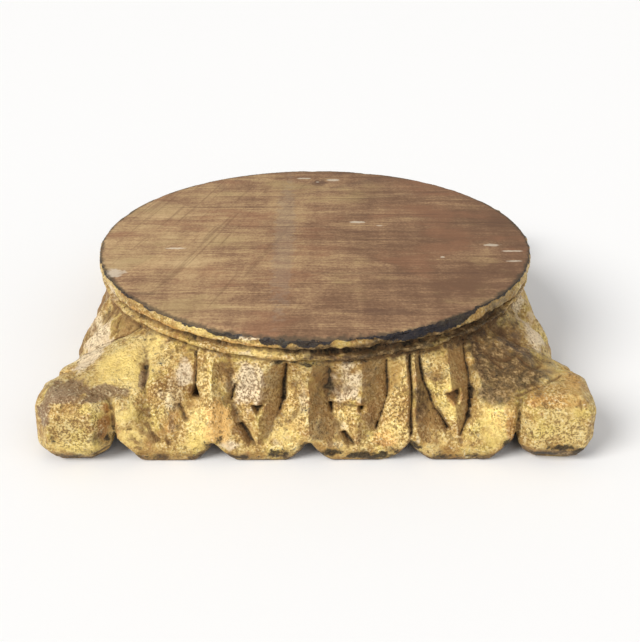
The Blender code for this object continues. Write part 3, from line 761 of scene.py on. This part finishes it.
# Stains, worn places and painted light and shade: centre x, y and z and reach along x, y and z in
# millimetres, then strength
STAINS = {
    "bright": (
        (-110, -159, 32, 9, 12, 7, 0.8), (-108, -161, 18, 10, 8, 7, 0.7), (79, -150, 43, 7, 12, 7, 1),
        (106, -160, 26, 11, 14, 15, 1), (80, -156, 31, 8, 12, 8, 0.8), (-68, -160, 20, 9, 12, 14, 0.9),
        (-116, -130, 48, 22, 22, 12, 1), (-100, -118, 56, 10, 14, 10, 0.8),
        (-40, -147, 68, 30, 12, 6, 0.8), (-70, -130, 74, 30, 16, 5, 0.6),
        (-18, -161, 18, 8, 10, 12, 0.5), (138, -164, 28, 18, 8, 10, 0.35),
        (46, -162, 24, 7, 10, 14, 0.5), (-140, -164, 14, 18, 8, 6, 0.6),
    ),
    "orange": (
        (-110, -161, 17, 14, 12, 8, 0.3), (-143, -84, 53, 5, 12, 8, 0.8),
        (-84, -159, 25, 8, 12, 9, 0.9), (-56, -157, 28, 9, 12, 17, 0.9), (71, -148, 48, 8, 14, 12, 0.8),
        (40, -161, 15, 10, 12, 6, 1), (114, -158, 25, 5, 12, 14, 1), (-120, -159, 37, 7, 8, 7, 0.9),
        (-84, -150, 43, 8, 12, 6, 0.5), (66, -160, 16, 9, 12, 6, 0.6), (136, -150, 42, 20, 12, 6, 0.8),
        (154, -140, 40, 12, 20, 8, 0.8), (-100, -112, 70, 64, 46, 3.6, 1.1),
        (-40, -142, 70, 34, 16, 3.2, 1.1), (134, -158, 40, 22, 7, 5, 1), (-8, -160, 24, 5, 10, 12, 0.5),
    ),
    "pale": (
        (-77, -140, 50, 7, 14, 12, 0.9), (-84, -146, 42, 12, 14, 16, 0.6),
        (-140, -110, 44, 17, 22, 9, 1.1), (-138, -92, 50, 12, 26, 12, 1),
        (-148, -60, 40, 12, 50, 18, 0.7), (142, -84, 46, 12, 30, 14, 1),
        (136, -70, 58, 10, 24, 10, 0.8), (-130, -64, 70, 8, 34, 9, 0.8), (132, -60, 68, 8, 26, 8, 0.7),
        (60, -160, 16, 3, 12, 6, 0.8), (-41, -147, 47, 16, 14, 24, 0.9),
        (-42, -158, 24, 8, 10, 10, 0.6), (18, -147, 46, 13, 14, 22, 0.8),
        (-8, -152, 44, 8, 14, 22, 0.55), (-142, -100, 46, 16, 34, 14, 1.25),
        (-150, -152, 43, 15, 13, 6, 0.65), (16, -158, 24, 6, 10, 10, 0.6),
        (-44, -147, 75.5, 26, 8, 2.5, 1), (-84, -160, 24, 5, 10, 8, 0.6),
        (-52, -162, 12, 10, 8, 5, 0.8), (-24, -162, 13, 8, 8, 5, 0.6), (10, -162, 12, 12, 8, 4, 0.5),
        (116, -104, 74, 14, 20, 3, 0.7), (50, -160, 40, 5, 12, 16, 0.5),
    ),
    # grime, and painted shade on the front right corner leaf, which faces away from the key light
    "grime_and_shade": (
        (116, -132, 47, 27, 31, 19, 0.97), (124, -104, 53, 24, 26, 13, 0.8),
        (113, -148, 42, 17, 12, 8, 0.66), (102, -128, 54, 8, 14, 10, 0.85),
        (130, -132, 45, 22, 16, 6, 0.7), (140, -112, 46, 14, 22, 9, 0.6),
        (124, -120, 49, 26, 26, 12, 0.8), (70, -146, 50, 11, 12, 13, 0.84),
        (-122, -151, 42, 16, 8, 5, 0.5), (112, -96, 74, 34, 34, 7, 0.66),
        (95, -140, 46, 3.5, 14, 16, 0.42), (106, -150, 40, 14, 12, 8, 0.9),
        (100, -118, 57, 14, 17, 12, 0.95), (102, -134, 48, 10, 18, 14, 1),
        (112, -146, 42, 14, 12, 7, 0.8), (98, -128, 52, 5, 14, 14, 0.85),
        (44, -140, 67, 66, 26, 11, 1.25), (52, -138, 71, 48, 24, 10, 1.1),
        (102, -110, 64, 42, 36, 10, 1.25), (-8, -148, 69, 24, 9, 5, 0.9), (140, -80, 50, 18, 34, 18, 0.36),
        (84, -152, 46, 4, 12, 12, 0.45), (62, -154, 38, 6, 14, 26, 0.9), (3, -150, 46, 7, 10, 18, 0.62),
        (4, -156, 28, 7, 10, 16, 0.48), (34, -150, 48, 9, 12, 18, 0.6), (33, -158, 26, 6, 10, 10, 0.62),
        (-23, -150, 52, 8, 12, 14, 0.42), (-28, -158, 24, 6, 10, 10, 0.4),
        (89, -147, 46, 6, 16, 18, 0.62), (-124, -163, 18, 7, 6, 10, 0.7), (144, -164, 7, 24, 8, 6, 1.1),
    ),
    # dark dirt, with painted shade at the tops of the notches and in the gaps beside the blocks
    "soil_and_shade": (
        (-12, -148, 58.5, 16, 8, 2.4, 0.9), (-21, -148, 57, 4, 8, 4, 1),
        (30, -148, 58.8, 16, 8, 2.2, 0.8), (70, -140, 59, 22, 8, 2.2, 0.8),
        (-57, -162, 15, 4, 8, 3, 0.85), (-62, -162, 12, 6, 8, 4, 0.9), (-22, -162, 6, 9, 8, 4, 0.9),
        (-5, -162, 11, 6, 8, 5, 0.9), (8, -162, 7, 9, 8, 4, 1), (32, -162, 4.5, 20, 8, 4, 1.15),
        (46, -162, 8, 6, 8, 3.5, 0.8), (-122, -161, 15, 3.5, 7, 8, 0.8),
        (-130, -164, 10, 8, 6, 2.5, 0.6), (-152.5, -165, 19, 2.4, 6, 6, 0.8),
        (145, -165, 12, 12, 6, 3.2, 1.25), (132, -164, 6, 12, 8, 3.5, 1.1),
        (157, -163, 9, 8, 8, 5, 1.1), (-103, -162, 4, 14, 8, 3, 0.7), (-74, -162, 5, 12, 8, 3, 0.7),
        (-42, -162, 3.5, 16, 8, 2.5, 0.7), (84, -162, 4, 24, 8, 2.5, 0.7), (58, -162, 12, 5, 8, 5, 0.9),
        (112, -162, 12, 5, 8, 5, 0.9), (112, -120, 54, 10, 7, 2, 0.6),
        (-71, -158, 40, 4, 12, 5, 1.2),
        (-118, -160, 24, 2.5, 9, 14, 0.8), (117, -160, 14, 2.5, 9, 5, 0.8),
        (46, -140, 68, 60, 26, 9, 0.46), (102, -110, 65, 38, 32, 8, 0.46),
    ),
    "stipple": (
        (-41, -147, 46, 12, 14, 22, 1), (18, -147, 46, 12, 14, 22, 1), (71, -146, 48, 11, 14, 14, 1.1),
        (106, -160, 26, 12, 12, 16, 0.8), (-68, -160, 22, 9, 12, 16, 0.5),
        (-86, -150, 44, 14, 16, 18, 0.8), (-140, -164, 24, 22, 10, 12, 1),
        (-140, -160, 40, 26, 16, 6, 0.7), (49, -156, 36, 7, 14, 26, 1), (-11, -156, 40, 8, 14, 24, 0.7),
        (140, -164, 22, 22, 10, 12, 0.8), (104, -160, 24, 12, 10, 12, 0.6),
        (-30, -142, 74, 40, 16, 4, 0.7),
    ),
    # painted light: facets that turn from the key light, painted brighter, with the painted shade held off
    # there
    "painted_light": (
        (134, -156, 40, 17, 6, 3.5, 0.35), (-56, -158, 27, 10, 12, 20, 1.1),
        (-54, -150, 50, 8, 12, 14, 0.7), (-87, -160, 20, 7, 10, 8, 0.5), (43, -162, 15, 9, 10, 5, 0.8),
        (106, -162, 28, 9, 10, 9, 0.5), (150, -150, 41, 14, 14, 6, 0.5),
    ),
    "rust": (
        (134, -156, 40.5, 18, 7, 4, 0.55), (154, -140, 41, 10, 18, 5, 0.4),
        (-121, -161, 36, 5, 9, 6, 1), (-123, -161, 24, 5, 8, 12, 1), (38, -162, 13, 10, 10, 4, 0.5),
        (81, -148, 38, 5, 12, 6, 1), (113, -160, 24, 3, 10, 12, 0.6), (-83, -160, 26, 4, 10, 5, 0.6),
        (10, -150, 63, 22, 12, 5, 0.5), (-30, -150, 68, 20, 12, 2.5, 0.7),
    ),
    "grey": (
        (-148, -150, 43, 22, 18, 8, 1), (-122, -150, 42, 18, 10, 6, 1),
        (-158, -158, 34, 8, 12, 12, 0.9), (-102, -138, 48, 4, 12, 10, 0.9),
        (128, -106, 53, 20, 20, 10, 0.9),
    ),
    # places where the painted shade on the right-facing fold sides is held off
    "unshaded_clean": (
        (-57, -154, 42, 9, 16, 30, 0.75), (-60, -154, 26, 9, 16, 20, 1),
        (-78, -152, 36, 9, 16, 26, 0.85), (-108, -154, 40, 14, 16, 30, 0.6),
        (108, -154, 30, 9, 16, 22, 0.8), (-146, -90, 48, 22, 44, 26, 1),
    ),
}

# Blue-black wear along the top's front edge, in millimetres: place along x, strength
EDGE_BLACK = (
    (-150, 0.15), (-100, 0.25), (-72, 0.35), (-56, 0.8), (-46, 0.8), (-38, 0.4), (-30, 1), (-3, 1),
    (6, 0.5), (34, 0.45), (45, 1.15), (88, 1.15), (98, 0.5), (125, 0.3), (150, 0.2),
)


def add_value(mesh, name, values):
    attribute = mesh.attributes.new(name, "FLOAT", "POINT")
    attribute.data.foreach_set("value", values.astype(np.float32))


def add_masks(thing):
    """Values on the mesh that its material reads."""
    mesh = thing.data
    co = coords(mesh)
    n = normals(mesh)
    around = Neighbours(mesh)
    fine = ((around.smooth(co, 5) - co) * n).sum(1)
    broad = ((around.smooth(co, 40) - co) * n).sum(1)
    side = (co[:, 2] < HEIGHT - FLAT_SKIN) & (co[:, 2] > 0.0004)
    z = co[:, 2] * 1000
    ragged = lattice_noise(co, 0.007, 31) * 0.5 + lattice_noise(co, 0.0025, 32) * 0.35
    masks = {}
    for name, stains in STAINS.items():
        total = np.zeros(len(co))
        for *centre, reach_x, reach_y, reach_z, strength in stains:
            away = np.linalg.norm((co * 1000 - centre) / (reach_x, reach_y, reach_z), axis=1)
            total = np.maximum(total, strength * (1 - smooth_ramp(away + ragged * 0.6, 0.35, 1.2)))
        masks[name] = total

    wavy = lattice_noise(co * (1, 1, 0.2), 0.030, 9) * 0.7
    grooves = groove_share(z + wavy) * (0.75 + 0.5 * lattice_noise(co, 0.014, 33))
    # hollows and the moulding's grooves darken: dirt and painted shade
    hollow = np.clip(fine * 1500, 0, 1) * 0.7 + np.clip(broad * 480, 0, 1) * 0.8
    masks["hollow"] = np.maximum(hollow, grooves * (0.45 + 0.9 * worn_moulding(co)))
    masks["edge"] = np.clip(-fine * 1500, 0, 1)

    radius = np.hypot(co[:, 0], co[:, 1])
    black = np.interp(co[:, 0] * 1000, *zip(*EDGE_BLACK)) * smooth_ramp(-co[:, 1], -0.02, 0.03)
    depth = HEIGHT * 1000 - z - 1.8 * rounded_front(co)
    depth = depth + ragged * 2.0 + ramp(lattice_noise(co, 0.010, 36), 0.0, 0.6) * 2.5
    limit = 0.6 + 3.0 * black**2
    line = HEIGHT * 1000 - z - 1.8 * rounded_front(co) + ragged * 0.8
    line = 0.8 * (1 - smooth_ramp(line, 0.5, 1.4))
    black = np.maximum(1 - smooth_ramp(depth, limit, limit * 1.35 + 0.8), line)
    masks["ink"] = smooth_ramp(radius, EDGE_START, 0.1470) * black
    soot = smooth_ramp(lattice_noise(co, 0.011, 34) + 0.6 * lattice_noise(co, 0.004, 35), -0.15, 0.35)
    foot = (0.35 + 0.65 * soot) * (1 - smooth_ramp(z + ragged * 5, 3.5, 9.5))
    # painted shade on faces that turn down near the floor
    under = 0.95 * smooth_ramp(-n[:, 2], 0.25, 0.7) * (1 - smooth_ramp(z, 14.0, 20.0))
    reach = np.maximum(np.abs(co[:, 0]), np.abs(co[:, 1]))
    # near-black painted shade on the inner core wall seen through the notches
    core = 1.2 * (1 - smooth_ramp(reach, 0.134, 0.148)) * (z < 17)
    masks["grime_and_shade"] = np.maximum.reduce([masks["grime_and_shade"], foot, under])
    soil_and_shade = masks["soil_and_shade"] + 0.35 * masks["soil_and_shade"] * lattice_noise(co, 0.005, 37)
    masks["soil_and_shade"] = np.maximum(soil_and_shade, core)

    # painted shade, with old dirt: fold sides turned to the right, away from the key light, go brown
    dirt_and_shade_side = np.zeros(len(co))
    sunk = np.zeros(len(co))
    for number in range(4):
        along, out = side_frame(co, number)
        row = (out > np.abs(along)) & (np.abs(along) < 0.112) & (z < 59.5)
        row = row & (n @ out_direction(number) > -0.2)
        dirt_and_shade_side = np.where(row, smooth_ramp(n @ out_direction(number + 1), 0.02, 0.42), dirt_and_shade_side)
        # the steep-walled cuts darken as painted shade in recesses
        for corners, _, wall in SIDES[number][3]:
            share = punch_depth(along * 1000, z, (corners, 1.0, wall * 0.6))
            sunk = np.maximum(sunk, share * row)
    strokes = (stroke_depth(co) * 0.8).clip(0, 1.1)
    masks["hollow"] = np.maximum.reduce([masks["hollow"], sunk * 0.8, strokes])
    masks["dirt_and_shade_side"] = dirt_and_shade_side * (1 - masks.pop("unshaded_clean").clip(0, 1)) * (1 - masks["painted_light"].clip(0, 1))
    for name, values in masks.items():
        add_value(mesh, name, values if name == "ink" else values * side)
    wood = (co[:, 2] > HEIGHT - FLAT_SKIN - 0.0024 * rounded_front(co)) & (n[:, 2] > 0.5)
    soffit = (co[:, 2] < FLAT_SKIN) & (n[:, 2] < -0.6)
    add_value(mesh, "bare", (wood | soffit).astype(float))


add_masks(base)


# Materials
def rgb(seen):
    """A colour given as the 0 to 255 values seen on a screen, as linear light."""
    shares = [c / 255 for c in seen]
    return tuple(((c + 0.055) / 1.055) ** 2.4 if c > 0.04 else c / 12.92 for c in shares) + (1.0,)


class Tree:
    """Short names for the nodes a material is made of."""

    def __init__(self, name):
        self.material = bpy.data.materials.new(name)
        self.material.use_nodes = True
        self.nodes = self.material.node_tree.nodes
        self.links = self.material.node_tree.links
        self.shader = self.nodes["Principled BSDF"]
        self.place = self.node("TexCoord", "Object")

    def link(self, value, socket):
        if hasattr(value, "is_linked"):
            self.links.new(value, socket)
        else:
            socket.default_value = value

    def node(self, kind, output, inputs=(), **settings):
        """One output of a new node, made with its settings and inputs."""
        node = self.nodes.new("ShaderNode" + kind)
        for name, value in settings.items():
            setattr(node, name, value)
        for socket, value in inputs:
            self.link(value, node.inputs[socket])
        return node.outputs[output]

    def mapped(self, scale, turn=0.0):
        """Places turned round the upright axis, then stretched."""
        turned = [("Vector", self.place), ("Rotation", (0.0, 0.0, turn))]
        turned = self.node("Mapping", "Vector", turned)
        return self.node("Mapping", "Vector", [("Vector", turned), ("Scale", scale)])

    def noise(self, scale, detail=3.0, rough=0.55, vector=None, warp=0.0):
        inputs = [("Scale", scale), ("Detail", detail), ("Roughness", rough), ("Distortion", warp)]
        inputs.append(("Vector", vector or self.place))
        return self.node("TexNoise", "Fac", inputs)

    def value(self, name):
        return self.node("Attribute", "Fac", attribute_name=name)

    def span(self, value, low, high, start=0.0, end=1.0):
        inputs = [("Value", value), ("From Min", low), ("From Max", high)]
        inputs += [("To Min", start), ("To Max", end)]
        return self.node("MapRange", "Result", inputs, interpolation_type="SMOOTHSTEP")

    def maths(self, operation, a, b=0.0):
        return self.node("Math", 0, [(0, a), (1, b)], operation=operation)

    def add(self, *values):
        total = values[0]
        for value in values[1:]:
            total = self.maths("ADD", total, value)
        return total

    def times(self, *values):
        total = values[0]
        for value in values[1:]:
            total = self.maths("MULTIPLY", total, value)
        return total

    def minus(self, value, amount):
        return self.maths("SUBTRACT", value, amount)

    def rest(self, value):
        """What the value leaves of 1."""
        return self.maths("SUBTRACT", 1.0, value)

    def blend(self, share, a, b):
        node = self.nodes.new("ShaderNodeMix")
        node.data_type = "RGBA"
        sockets = [s for s in node.inputs if s.enabled]
        for value, socket in zip((share, a, b), sockets):
            self.link(value, socket)
        return [s for s in node.outputs if s.enabled][0]

    def coat(self, under, seen, *shares):
        """A colour laid over another, as thick as the shares multiplied."""
        return self.blend(self.times(*shares), under, rgb(seen))

    def steps(self, value, stops):
        node = self.nodes.new("ShaderNodeValToRGB")
        elements = node.color_ramp.elements
        while len(elements) < len(stops):
            elements.new(0.5)
        for element, (position, seen) in zip(elements, stops):
            element.position = position
            element.color = rgb(seen)
        self.link(value, node.inputs["Fac"])
        return node.outputs["Color"]

    def length(self, vector):
        return self.node("VectorMath", "Value", [(0, vector)], operation="LENGTH")

    def spot(self, centre, reach):
        """One round or drawn-out spot, 1 in its middle. Centre and reach are in millimetres."""
        scale = [1000.0 / r for r in reach]
        shift = [-c / r for c, r in zip(centre, reach)]
        near = [("Vector", self.place), ("Scale", scale), ("Location", shift)]
        away = self.length(self.node("Mapping", "Vector", near))
        away = self.add(away, self.times(self.minus(self.ragged, 0.5), 1.6))
        return self.span(away, 1.0, 0.55)

    def finish(self, colour, roughness, relief, distance, strength):
        """Puts the values into the shader and gives the material back."""
        inputs = [("Distance", distance), ("Strength", strength), ("Height", relief)]
        self.link(colour, self.shader.inputs["Base Color"])
        self.link(roughness, self.shader.inputs["Roughness"])
        self.link(self.node("Bump", "Normal", inputs), self.shader.inputs["Normal"])
        self.shader.inputs["Specular IOR Level"].default_value = SPECULAR
        return self.material


def gilded_material():
    t = Tree("worn_gilding")
    hollow = t.value("hollow")
    edge = t.value("edge")
    bright = t.value("bright")
    stipple = t.value("stipple")
    patch = t.noise(85.0, 5.0, 0.62)
    fine = t.noise(300.0, 4.0, 0.7)
    grain = t.noise(700.0, 2.0, 0.6)
    loose_patch = t.minus(patch, 0.5)

    def ragged(name, amount, low, high):
        """A mask of the mesh with its border frayed by the patches."""
        return t.span(t.add(t.value(name), t.times(loose_patch, amount)), low, high)

    # leaf in several tones, from ochre to pale and lemon gold
    tone = t.add(t.times(t.noise(30.0, 4.0, 0.6), 0.36), t.times(patch, 0.44), t.times(fine, 0.30))
    tone = t.add(tone, t.times(bright, 0.12))
    golds = ((156, 118, 64), (188, 152, 88), (214, 184, 116), (236, 214, 152))
    colour = t.steps(t.span(tone, 0.40, 0.74), list(zip((0.0, 0.28, 0.60, 1.0), golds)))
    lemon = t.span(t.noise(52.0, 3.0, 0.6), 0.52, 0.66, 0.0, 0.45)
    colour = t.coat(colour, (226, 204, 112), lemon)
    colour = t.coat(colour, (238, 208, 120), bright, t.span(patch, 0.34, 0.50), 0.80)
    colour = t.coat(colour, (202, 152, 82), ragged("orange", 0.9, 0.35, 0.9), 0.70)
    pale = t.add(t.value("pale"), t.times(loose_patch, 0.9), t.times(fine, 0.5))
    pale = t.span(pale, 0.60, 1.15)
    colour = t.coat(colour, (232, 211, 178), pale, 0.82)
    # painted light: warm pale colour on facets the key light leaves dim
    colour = t.coat(colour, (244, 196, 120), ragged("painted_light", 0.7, 0.25, 0.85), 0.75)
    colour = t.coat(colour, (152, 98, 50), ragged("rust", 0.9, 0.30, 0.85), 0.75)
    # rubbed edges show the red clay under the leaf, and here and there the chalk ground
    clay = t.span(t.add(t.times(edge, 0.20), t.noise(140.0, 5.0, 0.65)), 0.60, 0.74)
    colour = t.coat(colour, (158, 108, 62), clay, 0.55)
    chalk = t.span(t.add(t.noise(150.0, 6.0, 0.75, warp=0.8), t.times(edge, 0.10)), 0.64, 0.72)
    colour = t.coat(colour, (240, 228, 196), chalk, 0.60)
    # sides of the folds that face right, away from the key light, painted brown: painted shade over old
    # dirt
    brown = ragged("dirt_and_shade_side", 0.8, 0.25, 0.80)
    colour = t.coat(colour, (126, 90, 54), brown, 0.66)
    colour = t.coat(colour, (142, 115, 88), ragged("grey", 0.8, 0.30, 0.75), 0.85)
    # speckle of the open ground: dark crumbs and light flecks, thicker in some places than in others
    crumbs = t.add(t.times(fine, 0.25), t.times(grain, 0.75), t.times(stipple, -0.020))
    much = t.add(t.noise(60.0, 3.0, 0.6), t.times(bright, -0.15), t.times(stipple, 0.12))
    much = t.span(much, 0.36, 0.58, 0.30, 1.0)
    dark = t.times(t.span(crumbs, 0.485, 0.40), much)
    light = t.times(t.span(crumbs, 0.525, 0.62), much)
    colour = t.coat(colour, (112, 80, 42), dark, t.add(t.times(stipple, 0.22), 0.56))
    colour = t.coat(colour, (246, 234, 190), light, t.rest(t.times(brown, 0.7)), 0.50)
    pits = t.span(t.noise(330.0, 1.5, 0.5), 0.60, 0.70)
    pits = t.times(pits, t.span(patch, 0.40, 0.54, 0.1, 1.0))
    pits = t.times(pits, t.rest(t.times(bright, 0.7)))
    colour = t.coat(colour, (112, 80, 42), pits, 0.60)
    # grime and painted shade in stained places and on low downward faces; dirt and painted shade, brown in
    # shallow hollows and near black in deep ones, at the notches and on the inner core
    loose = t.times(t.minus(t.add(fine, patch), 1.0), 0.8)
    scatter = t.add(loose, t.times(t.minus(crumbs, 0.5), 0.9))
    grime_and_shade_share = t.span(t.add(t.value("grime_and_shade"), t.times(scatter, 1.2)), 0.20, 0.95)
    mud_and_shade = t.add(t.times(t.noise(210.0, 4.0, 0.65), 0.60), t.times(crumbs, 0.40))
    mud_and_shade_tones = ((46, 32, 22), (80, 58, 36), (114, 88, 54), (166, 136, 94))
    mud_and_shade = t.steps(mud_and_shade, list(zip((0.41, 0.48, 0.54, 0.61), mud_and_shade_tones)))
    colour = t.blend(t.times(grime_and_shade_share, 0.90), colour, mud_and_shade)
    shallow = t.span(t.add(hollow, scatter), 0.16, 0.75)
    colour = t.coat(colour, (100, 70, 40), shallow, 0.72)
    soil_and_shade = t.span(t.add(t.value("soil_and_shade"), t.times(scatter, 2.0)), 0.30, 1.00)
    deep = t.times(t.span(t.add(hollow, loose), 0.80, 1.35), 0.90)
    deep = t.maths("MAXIMUM", deep, t.times(soil_and_shade, 0.94))
    black = t.steps(crumbs, [(0.44, (28, 21, 16)), (0.57, (66, 54, 34))])
    colour = t.blend(deep, colour, black)
    ink = t.span(t.add(t.value("ink"), t.times(scatter, 1.4)), 0.28, 0.72)
    colour = t.coat(colour, (25, 27, 37), ink, 0.92)
    unshaded_clean = t.times(*[t.rest(v) for v in (clay, chalk, shallow, grime_and_shade_share, dark, pale)])
    t.link(t.times(unshaded_clean, 0.30), t.shader.inputs["Metallic"])
    roughness = t.span(t.add(fine, shallow), 0.3, 1.2, 0.45, 0.78)
    relief = t.add(t.times(fine, 0.6), t.times(grain, 0.45), t.times(pits, -0.5), t.times(dark, -0.3))
    return t.finish(colour, roughness, relief, 0.0012, 0.9)


# Marks on the sawn top, in millimetres: middle x and y, and reach along x and y. Pale scratches,
# then dark grain lines and a knot
PALE_MARKS = (
    (31, 29, 6, 2.2), (47, 22, 4, 1.2), (122, -15, 7, 2.6), (135, -26, 9, 1.6), (133, -43, 7, 1.5),
    (15, 125, 6, 3.5), (-9, 129, 7, 2), (2, 120, 2, 1.5), (-132, -62, 9, 9), (-96, -20, 8, 1.6),
    (86, -36, 2, 1.4),
)
DARK_MARKS = (
    (4, 117, 8, 9), (4, 119, 6, 6), (-40, 20, 100, 0.9), (-20, -10, 90, 0.7), (60, -62, 80, 1.6),
    (-50, 62, 60, 0.8), (70, 45, 60, 0.9), (-112, -92, 22, 3), (40, -118, 26, 6),
)


def wood_material():
    t = Tree("bare_wood")
    t.ragged = t.noise(200.0, 3.0, 0.6)

    def grained(detail, rough, scale, warp=0.0, turn=0.0):
        """Noise drawn out by the scale."""
        return t.noise(1.0, detail, rough, t.mapped(scale, turn), warp)

    fibres = grained(4.0, 0.7, (42.0, 900.0, 60.0))
    streaks = grained(4.0, 0.65, (11.0, 190.0, 20.0), 0.4)
    bands = grained(4.0, 0.6, (16.0, 40.0, 20.0), 0.5)
    saw = grained(3.0, 0.6, (230.0, 8.0, 20.0), turn=0.28)
    cross = grained(3.0, 0.6, (70.0, 9.0, 20.0), 0.3)
    line = grained(2.0, 0.5, (5.0, 330.0, 20.0), 0.3)
    cloud = t.noise(15.0, 4.0, 0.6)
    grit = t.noise(560.0, 3.0, 0.7)
    across = t.node("SeparateXYZ", "X", [(0, t.place)])
    side = t.span(across, -0.16, 0.16, 0.050, -0.070)
    tone = t.add(t.times(bands, 0.30), t.times(streaks, 0.15), t.times(fibres, 0.22))
    tone = t.add(tone, t.times(grit, 0.20), side, t.times(cross, 0.13))
    woods = ((114, 84, 62), (149, 116, 86), (175, 143, 104), (200, 170, 126))
    colour = t.steps(t.span(tone, 0.385, 0.655), list(zip((0.0, 0.35, 0.65, 1.0), woods)))
    # redder and greener patches run into each other
    hue = t.add(t.times(cloud, 0.6), t.times(bands, 0.4))
    colour = t.coat(colour, (158, 112, 82), t.span(hue, 0.49, 0.38, 0.0, 0.38))
    colour = t.coat(colour, (158, 136, 92), t.span(hue, 0.52, 0.64, 0.0, 0.40))
    colour = t.coat(colour, (98, 70, 52), t.span(line, 0.62, 0.72, 0.0, 0.40))
    left = t.span(across, 0.03, -0.07, 0.15, 1.0)
    colour = t.coat(colour, (112, 84, 60), t.span(saw, 0.55, 0.67), left, 0.40)
    top = HEIGHT * 1000
    colour = t.coat(colour, (150, 136, 118), t.spot((-22, 0, top), (9, 150, 9)), 0.26)
    kinds = ((DARK_MARKS, (92, 66, 52), 0.45), (PALE_MARKS, (216, 202, 180), 0.66))
    for marks, seen, share in kinds:
        for x, y, reach_x, reach_y in marks:
            colour = t.coat(colour, seen, t.spot((x, y, top), (reach_x, reach_y, 9)), share)
    # the sawn edge, dark with handling
    rim = t.length(t.mapped((1.0, 1.0, 0.0)))
    rim = t.add(rim, t.times(t.minus(t.ragged, 0.5), 0.006), t.times(t.minus(cloud, 0.5), 0.006))
    colour = t.coat(colour, (74, 64, 50), t.span(rim, 0.1462, 0.1490, 0.0, 0.8))
    relief = t.add(t.times(fibres, 0.7), t.times(grit, 0.5))
    return t.finish(colour, t.span(fibres, 0.3, 0.7, 0.70, 0.88), relief, 0.0005, 0.7)


base.data.materials.append(gilded_material())
base.data.materials.append(wood_material())
mesh = base.data
bare = np.empty(len(mesh.vertices), np.float32)
mesh.attributes["bare"].data.foreach_get("value", bare)
corners = np.empty(len(mesh.loops), np.int32)
mesh.loops.foreach_get("vertex_index", corners)
flat_faces = bare[corners.reshape(-1, 3)].min(1) > 0.5
mesh.polygons.foreach_set("material_index", flat_faces.astype(np.int32))
mesh.update()
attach(base, "root")
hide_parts("column_base")


# Floor, lights and camera
def build_stage():
    floor = new_mesh_object("floor", [(-4, -4, 0), (4, -4, 0), (4, 4, 0), (-4, 4, 0)], [(0, 1, 2, 3)])
    floor.location.z = -0.0002
    t = Tree("pale_floor")
    t.shader.inputs["Base Color"].default_value = (0.90, 0.90, 0.90, 1)
    t.shader.inputs["Roughness"].default_value = 0.95
    floor.data.materials.append(t.material)


def add_sun(name, direction, strength, softness, colour):
    light = bpy.data.lights.new(name, "SUN")
    light.energy = strength
    light.angle = math.radians(softness)
    light.color = colour
    thing = bpy.data.objects.new(name, light)
    thing.rotation_euler = Vector(direction).to_track_quat("Z", "Y").to_euler()
    bpy.context.scene.collection.objects.link(thing)


build_stage()
add_sun("key", (-0.85, -0.65, 0.85), 2.55, 30, (1.0, 0.98, 0.95))
add_sun("fill", (0.6, -0.9, 0.9), 0.7, 60, (0.97, 0.98, 1.0))
world = bpy.data.worlds.new("world")
bpy.context.scene.world = world
world.use_nodes = True
world.node_tree.nodes["Background"].inputs["Color"].default_value = (1.0, 1.0, 1.0, 1.0)
world.node_tree.nodes["Background"].inputs["Strength"].default_value = 0.46
bpy.context.scene.view_settings.view_transform = "Standard"

lens = bpy.data.cameras.new("camera")
lens.lens = 51.97
lens.sensor_width = 36.0
camera = bpy.data.objects.new("camera", lens)
camera.location = (0.0, -0.6113, 0.3268)
camera.rotation_euler = (math.radians(62.68), 0.0, math.radians(-0.32))
bpy.context.scene.collection.objects.link(camera)
bpy.context.scene.camera = camera
